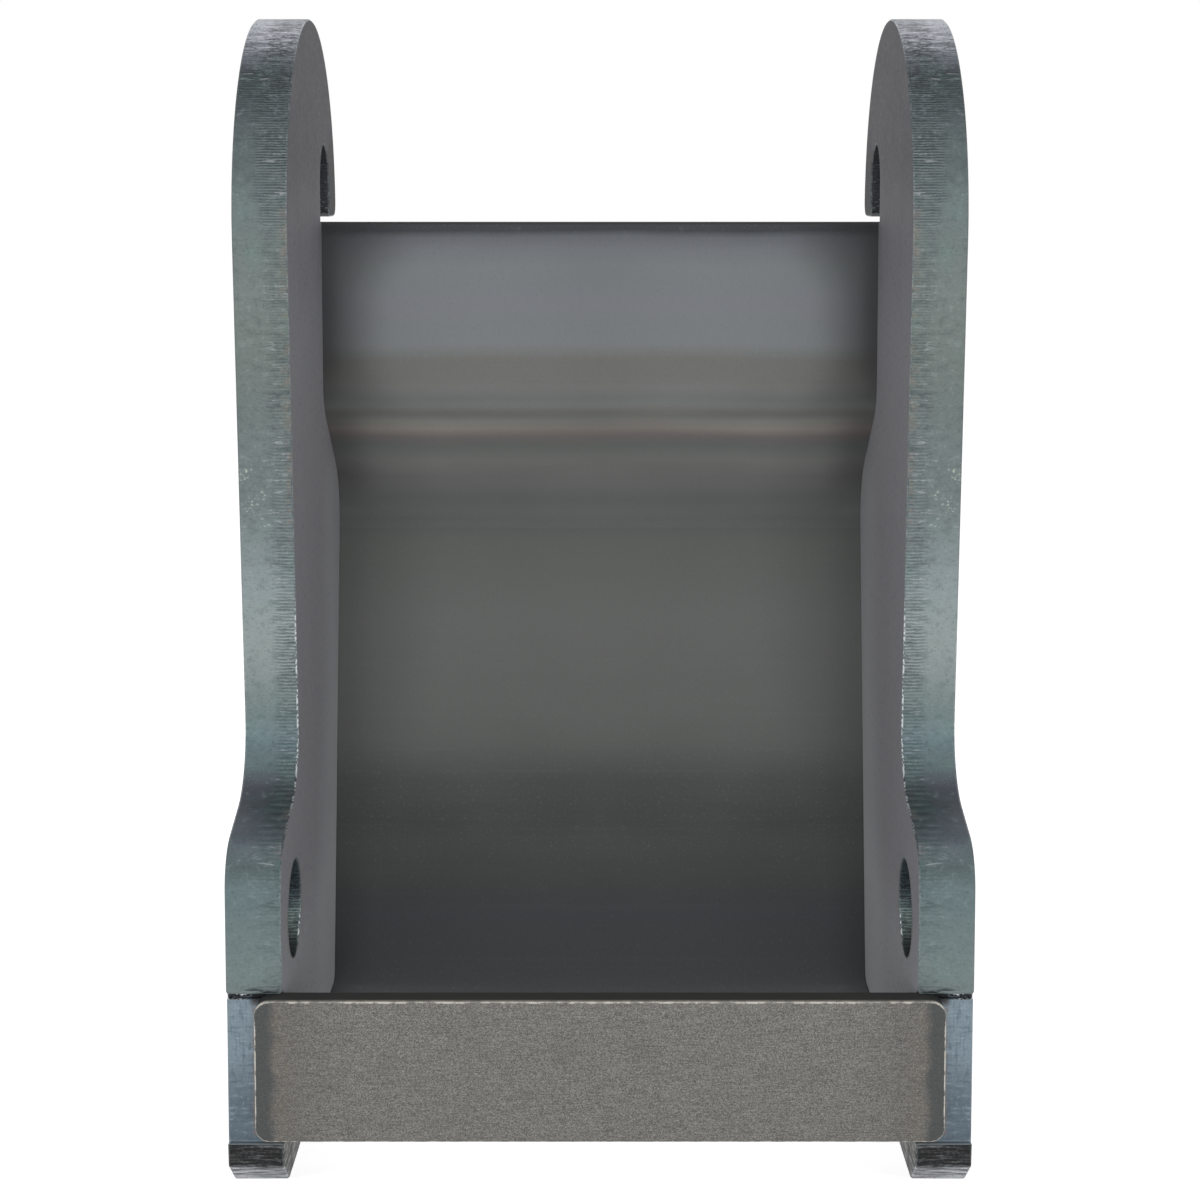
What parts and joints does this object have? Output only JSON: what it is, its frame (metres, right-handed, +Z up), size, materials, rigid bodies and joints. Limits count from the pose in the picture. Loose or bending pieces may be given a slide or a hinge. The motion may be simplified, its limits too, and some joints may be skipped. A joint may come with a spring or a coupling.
{
  "type": "excavator quick coupler hook frame",
  "caption": "Weld-on quick coupler frame for a mini excavator: flame-cut hook plates with lock bores, joined by a bent back plate and a flat cross bar.",
  "frame": {"origin": "middle of the axle axis that both hook seats share, half way between the side plates", "axes": "+X along the axle axis to the right in the picture, +Y back through the bent plate to the side where the hook tips are, +Z up"},
  "size_m": [0.266, 0.2135, 0.4249],
  "materials": {
    "flame_cut_plate": "bare thick steel plate, scaled faces and flame-cut edges with drag lines",
    "bent_sheet": "smooth bare hot-rolled sheet, press bent",
    "flat_bar": "speckled bare flat bar with bright broken edges and heat tint at its ends",
    "weld_metal": "rippled bare fillet weld"
  },
  "bodies": {
    "root": {"left_side_plate": "flame_cut_plate", "right_side_plate": "flame_cut_plate", "back_plate": "bent_sheet", "lower_cross_bar": "flat_bar", "left_back_seam_weld": "weld_metal", "right_back_seam_weld": "weld_metal", "left_heel_weld": "weld_metal", "right_heel_weld": "weld_metal", "left_bar_weld": "weld_metal", "right_bar_weld": "weld_metal"}
  },
  "joints": []
}
